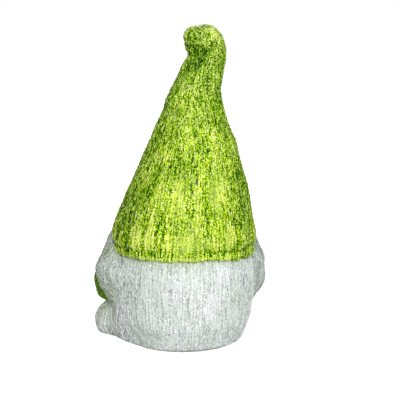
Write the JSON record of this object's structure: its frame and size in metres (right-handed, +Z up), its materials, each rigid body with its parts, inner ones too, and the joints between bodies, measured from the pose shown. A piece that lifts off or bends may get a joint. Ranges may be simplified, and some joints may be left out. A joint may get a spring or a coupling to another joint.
{
  "type": "tomte gnome figurine",
  "caption": "Hollow spun-acrylic gnome light with a tall folded green hat, clear body, beard, and a battery box with cover and switch in its base.",
  "frame": {"origin": "centre of the round base, on the flat face that the figure stands on", "axes": "+Z up, -Y towards the gnome's face, +X towards the gnome's left hand"},
  "size_m": [0.1435, 0.1303, 0.2553],
  "materials": {
    "green_acrylic": "clear lime-green spun acrylic thread",
    "clear_acrylic": "frosted clear spun acrylic thread",
    "mitten_acrylic": "dark green spun acrylic thread",
    "nose_acrylic": "frosted, warm tint",
    "tray_plastic": "moulded, satin",
    "seal_foam": "closed foam",
    "cell_wrap": "plain shrink wrap",
    "contact_metal": "nickel plated",
    "screw_metal": "zinc plated",
    "lead_insulation": "thin insulation",
    "board": "solder mask",
    "chip": "moulded",
    "resistor": "ceramic",
    "switch_plastic": "moulded",
    "cable": "clear insulation",
    "lamp": "clear lens",
    "glue": "clear hot glue"
  },
  "bodies": {
    "figure": {"hat_back_shell": "green_acrylic", "hat_front_shell": "green_acrylic", "hat_tip": "green_acrylic", "body_back_shell": "clear_acrylic", "body_front_shell": "clear_acrylic", "beard": "clear_acrylic", "nose": "nose_acrylic", "left_sleeve": "clear_acrylic", "right_sleeve": "clear_acrylic", "left_mitten": "mitten_acrylic", "right_mitten": "mitten_acrylic", "left_boot": "clear_acrylic", "right_boot": "clear_acrylic", "base_tray": "tray_plastic", "tray_lugs": "tray_plastic", "tray_screws": "screw_metal", "battery_1": "cell_wrap", "battery_2": "cell_wrap", "battery_3": "cell_wrap", "contact_springs": "contact_metal", "contact_plates": "contact_metal", "battery_leads": "lead_insulation", "timer_board": "board", "timer_chip": "chip", "board_resistors": "resistor", "board_screws": "screw_metal", "switch_housing": "switch_plastic", "led_harness": "cable", "led_glue_collars": "glue", "led_01": "lamp", "led_02": "lamp", "led_03": "lamp", "led_04": "lamp", "led_05": "lamp", "led_06": "lamp", "led_07": "lamp", "led_08": "lamp", "led_09": "lamp", "led_10": "lamp", "led_11": "lamp", "led_12": "lamp", "led_13": "lamp", "led_14": "lamp", "led_15": "lamp", "led_16": "lamp", "led_17": "lamp", "led_18": "lamp", "led_19": "lamp", "led_20": "lamp"},
    "battery_cover": {"battery_cover": "tray_plastic", "cover_seal": "seal_foam"},
    "switch_knob": {"switch_knob": "switch_plastic"}
  },
  "joints": [
    {"name": "cover_hinge", "type": "hinge", "parent": "figure", "child": "battery_cover", "pos_m": [-0.0294, 0, 0.0015], "axis": [0, 1, 0], "range_deg": [0, 95]},
    {"name": "switch_slide", "type": "slide", "parent": "figure", "child": "switch_knob", "axis": [1, 0, 0], "range_m": [0, 0.004]}
  ]
}
